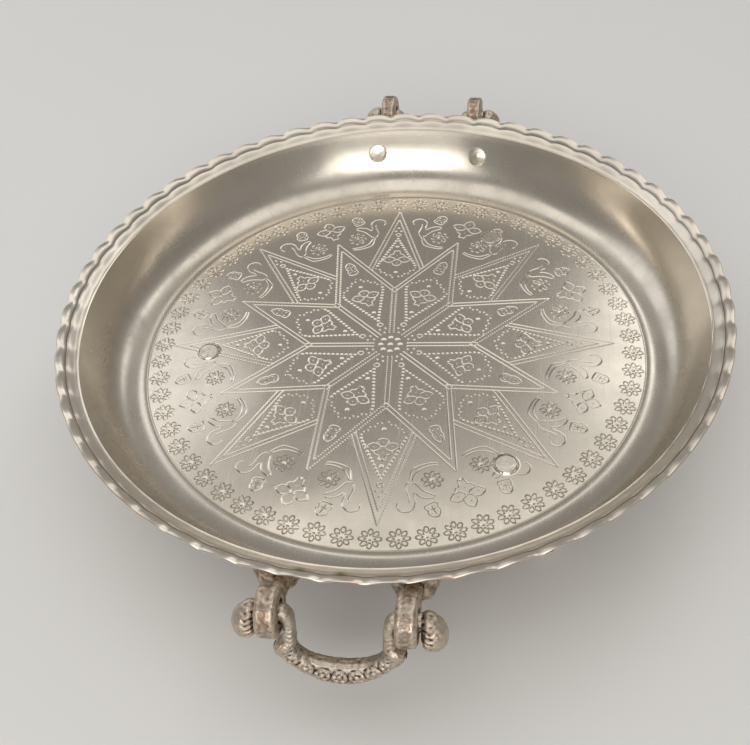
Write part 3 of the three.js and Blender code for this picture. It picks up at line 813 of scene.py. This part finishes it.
class Nodes:
    """A short way to build a material's node tree."""

    def __init__(self, name):
        self.material = bpy.data.materials.new(name)
        self.material.use_nodes = True
        self.tree = self.material.node_tree
        self.shader = self.tree.nodes["Principled BSDF"]

    def node(self, kind, **inputs):
        made = self.tree.nodes.new(f"ShaderNode{kind}")
        for key, value in inputs.items():
            self.feed(made.inputs[key.replace("_", " ")], value)
        return made

    def feed(self, socket, value):
        if hasattr(value, "links"):
            self.tree.links.new(value, socket)
        else:
            socket.default_value = value

    def place(self, stretch=(1, 1, 1), turn=(0, 0, 0)):
        coordinates = self.node("TexCoord").outputs["Object"]
        return self.node("Mapping", Vector=coordinates, Scale=stretch, Rotation=turn).outputs["Vector"]

    def noise(self, scale, detail=4.0, rough=0.55, stretch=(1, 1, 1), turn=(0, 0, 0)):
        where = self.place(stretch, turn)
        made = self.node("TexNoise", Vector=where, Scale=scale, Detail=detail, Roughness=rough)
        return made.outputs["Fac"]

    def ramp(self, value, low, high, start=0.0, end=1.0):
        made = self.node("MapRange", Value=value)
        for key, number in (("From Min", low), ("From Max", high), ("To Min", start), ("To Max", end)):
            made.inputs[key].default_value = number
        return made.outputs["Result"]

    def math(self, way, a, b):
        made = self.tree.nodes.new("ShaderNodeMath")
        made.operation = way
        self.feed(made.inputs[0], a)
        self.feed(made.inputs[1], b)
        return made.outputs["Value"]

    def mix(self, share, a, b):
        made = self.tree.nodes.new("ShaderNodeMix")
        made.data_type = "RGBA"
        self.feed(made.inputs["Factor"], share)
        self.feed(made.inputs["A"], a)
        self.feed(made.inputs["B"], b)
        return made.outputs["Result"]

    def attribute(self, name):
        made = self.tree.nodes.new("ShaderNodeAttribute")
        made.attribute_name = name
        return made.outputs["Fac"]

    def bump(self, *layers):
        """Bumps laid over each other, each as a height, its depth in millimetres and a strength."""
        normal = None
        for height, depth, strength in layers:
            made = self.node("Bump", Height=height, Distance=depth * MM, Strength=strength)
            if normal:
                self.tree.links.new(normal, made.inputs["Normal"])
            normal = made.outputs["Normal"]
        self.tree.links.new(normal, self.shader.inputs["Normal"])


TIN_PALE = (0.78, 0.715, 0.62, 1)
TIN_DULL = (0.62, 0.57, 0.49, 1)
TIN_PAINTED_SHADE = (0.20, 0.18, 0.15, 1)
TIN_SCUFF = (0.40, 0.37, 0.32, 1)
COPPER = (0.70, 0.42, 0.30, 1)
VERDIGRIS = (0.20, 0.19, 0.07, 1)
# The bail's grey is paler than the other castings' partly for its tin and partly as painted highlight, standing in
# for the bright light its grip's top reflects
BAIL_GREY_AND_SHEEN = (0.56, 0.51, 0.44, 1)
BAIL_BROWN = (0.45, 0.33, 0.24, 1)
BAIL_TINNED = 0.45
CAST_GREY = (0.38, 0.33, 0.27, 1)
CAST_BROWN = (0.33, 0.215, 0.145, 1)
CAST_TINNED = 0.38
CAST_DARK = (0.06, 0.048, 0.038, 1)
CAST_WORN = (0.60, 0.50, 0.40, 1)


def tinned_sheet():
    """Hand-tinned copper: warm silver, smudged and finely scratched, worn to copper at the lip, with painted shade
    in its grooves, punch marks and the rim's crease.
    """
    n = Nodes("tinned_sheet")
    smudge = n.noise(16, 6, 0.6)
    cloud = n.noise(5, 3, 0.5)
    scratch = n.ramp(n.noise(1100, 1, 0.5, (1, 0.02, 1), (0, 0, 0.6)), 0.62, 0.72)
    crossed = n.ramp(n.noise(1300, 1, 0.5, (0.02, 1, 1), (0, 0, 0.25)), 0.64, 0.74)
    dull = n.ramp(n.math("ADD", smudge, cloud), 0.85, 1.25)
    colour = n.mix(dull, TIN_PALE, TIN_DULL)
    # Painted shade: grooves, punch marks, petal rings and the rim's crease are darkened towards the darkest tin
    colour = n.mix(n.attribute("painted_shade"), colour, TIN_PAINTED_SHADE)
    scuff = n.ramp(n.noise(45, 9, 0.72, (1, 1, 0.6)), 0.46, 0.66, 0.45, 1.0)
    scuff = n.math("MULTIPLY", n.attribute("scuffed"), scuff)
    colour = n.mix(n.math("MULTIPLY", scuff, 0.7), colour, TIN_SCUFF)
    worn = n.math("MULTIPLY", n.attribute("worn"), n.ramp(n.noise(60, 3), 0.52, 0.7, 0, 0.7))
    colour = n.mix(worn, colour, COPPER)
    green = n.attribute("verdigris")
    colour = n.mix(green, colour, VERDIGRIS)
    n.feed(n.shader.inputs["Base Color"], colour)
    n.shader.inputs["Metallic"].default_value = 1.0
    rough = n.math("ADD", n.ramp(smudge, 0.3, 0.7, 0.13, 0.26), n.math("MULTIPLY", scratch, 0.05))
    rough = n.math("ADD", rough, n.math("MULTIPLY", green, 0.4))
    rough = n.math("ADD", rough, n.math("MULTIPLY", scuff, 0.25))
    rough = n.math("ADD", rough, n.math("MULTIPLY", n.attribute("fluted"), 0.14))
    n.feed(n.shader.inputs["Roughness"], rough)
    n.bump((n.noise(22, 2), 0.5, 0.2), (scratch, 0.004, 0.3), (crossed, 0.004, 0.3))
    return n.material


def worn_casting(name, grey, brown, tinned):
    """Rough cast metal: grey tin in patches over brown, dark hollows and bright worn edges."""
    n = Nodes(name)
    proud = n.attribute("proud")
    patch = n.ramp(n.noise(55, 5, 0.65), tinned, tinned + 0.18)
    colour = n.mix(patch, grey, brown)
    colour = n.mix(n.ramp(proud, 0.6, 0.85), colour, CAST_WORN)
    colour = n.mix(n.ramp(proud, 0.45, 0.15), colour, CAST_DARK)
    colour = n.mix(n.ramp(n.noise(500, 4, 0.7), 0.6, 0.75), colour, CAST_DARK)
    n.feed(n.shader.inputs["Base Color"], colour)
    n.shader.inputs["Metallic"].default_value = 1.0
    n.feed(n.shader.inputs["Roughness"], n.ramp(n.noise(300, 3), 0.3, 0.7, 0.28, 0.5))
    n.bump((n.noise(420, 4, 0.6), 0.7, 0.9), (n.noise(1600, 3), 0.12, 0.6))
    return n.material


def rivet_finish():
    """Hammered and tinned rivet heads."""
    n = Nodes("rivet_finish")
    patch = n.noise(180, 4)
    n.feed(n.shader.inputs["Base Color"], n.mix(n.ramp(patch, 0.4, 0.65), TIN_PALE, TIN_DULL))
    n.shader.inputs["Metallic"].default_value = 1.0
    n.feed(n.shader.inputs["Roughness"], n.ramp(patch, 0.3, 0.7, 0.2, 0.34))
    n.bump((n.noise(260, 2), 0.25, 0.3), (n.noise(1500, 2), 0.02, 0.3))
    return n.material


STAGE_PALE = (0.78, 0.775, 0.76, 1)
STAGE_PALER = (0.81, 0.805, 0.79, 1)
# Half the floor's width, in metres
STAGE_HALF = 14.0


def stage_floor():
    """A plain pale floor, far wider than the view."""
    n = Nodes("stage_floor")
    n.shader.inputs["Roughness"].default_value = 0.7
    n.feed(n.shader.inputs["Base Color"], n.mix(n.noise(3, 2), STAGE_PALE, STAGE_PALER))
    mesh = bpy.data.meshes.new("stage_floor")
    corners = [(x * STAGE_HALF, y * STAGE_HALF, 0) for x, y in ((-1, -1), (1, -1), (1, 1), (-1, 1))]
    mesh.from_pydata(corners, [], [(0, 1, 2, 3)])
    mesh.materials.append(n.material)
    floor = bpy.data.objects.new("stage_floor", mesh)
    bpy.context.scene.collection.objects.link(floor)


def add_camera():
    turn = Matrix.Rotation(math.radians(CAMERA_BEARING), 3, "Z")
    tilt = Matrix.Rotation(math.radians(90 - CAMERA_ELEVATION), 3, "X")
    roll = Matrix.Rotation(math.radians(CAMERA_ROLL), 3, "Z")
    facing = turn @ tilt @ roll
    aim = Vector((*CAMERA_AIM, FLOOR_TOP)) * MM
    data = bpy.data.cameras.new("camera")
    data.sensor_width = SENSOR_WIDTH
    data.lens = CAMERA_LENS
    data.clip_start = 0.01
    camera = bpy.data.objects.new("camera", data)
    camera.matrix_world = Matrix.Translation(aim + facing.col[2] * CAMERA_DISTANCE * MM) @ facing.to_4x4()
    bpy.context.scene.collection.objects.link(camera)
    bpy.context.scene.camera = camera
    bpy.context.scene.view_settings.view_transform = "Standard"


def add_panel(name, place, aim, size, power, tint=(1, 1, 1)):
    """A soft light panel in metres and watts that faces a point."""
    data = bpy.data.lights.new(name, "AREA")
    data.shape = "RECTANGLE"
    data.size, data.size_y = size
    data.energy = power
    data.color = tint
    lamp = bpy.data.objects.new(name, data)
    lamp.location = place
    lamp.rotation_euler = (Vector(aim) - Vector(place)).to_track_quat("-Z", "Y").to_euler()
    bpy.context.scene.collection.objects.link(lamp)


def add_lights():
    world = bpy.data.worlds.new("studio")
    world.use_nodes = True
    back = world.node_tree.nodes["Background"]
    back.inputs["Color"].default_value = (1.0, 0.975, 0.94, 1)
    back.inputs["Strength"].default_value = 0.3
    bpy.context.scene.world = world
    middle = (0, 0, 0.03)
    add_panel("top_panel", (-0.05, 0.2, 1.6), middle, (2.2, 1.6), 9.8, (1.0, 0.985, 0.96))
    add_panel("front_panel", (0.05, -1.5, 0.85), middle, (1.6, 0.7), 11, (1.0, 0.975, 0.945))
    add_panel("left_panel", (-1.1, 0.8, 0.85), middle, (1.2, 1.1), 3.5, (0.95, 0.975, 1.0))
    add_panel("right_panel", (0.55, 1.09, 1.0), middle, (0.6, 0.6), 1.5)


# The fineness of the castings' meshes, and how often they are smoothed
BAIL_VOXEL = 0.45
BRACKET_VOXEL = 0.55
FOOT_VOXEL = 0.6
CAST_ROUNDS = 30
FOOT_ROUNDS = 12

sheet_finish = tinned_sheet()
# The bail's paler finish is partly painted highlight
bail_finish = worn_casting("tinned_casting_and_sheen", BAIL_GREY_AND_SHEEN, BAIL_BROWN, BAIL_TINNED)
cast_finish = worn_casting("worn_casting", CAST_GREY, CAST_BROWN, CAST_TINNED)
head_finish = rivet_finish()

dish(sheet_finish)
for joint in frame["joints"]:
    handle = "front_handle" if joint["child"] == "front_bail" else "rear_handle"
    casting(handle, joint["child"], bail_finish, bail_relief(joint), BAIL_VOXEL, CAST_ROUNDS)
for end in ("front", "rear"):
    for hand in ("left", "right"):
        rivet_node = f"{end}_{hand}_bracket_rivet"
        bracket = f"{end}_{hand}_eye_bracket"
        casting(bracket, "tray", cast_finish, shell_relief(rivet_node), BRACKET_VOXEL, CAST_ROUNDS)
        rivet_piece(rivet_node, "tray", head_finish)
for foot in ("left", "rear", "front"):
    casting(f"{foot}_foot", "tray", cast_finish, foot_relief(f"{foot}_foot"), FOOT_VOXEL, FOOT_ROUNDS)
    rivet_piece(f"{foot}_foot_rivet", "tray", head_finish, True)

stage_floor()
add_camera()
add_lights()
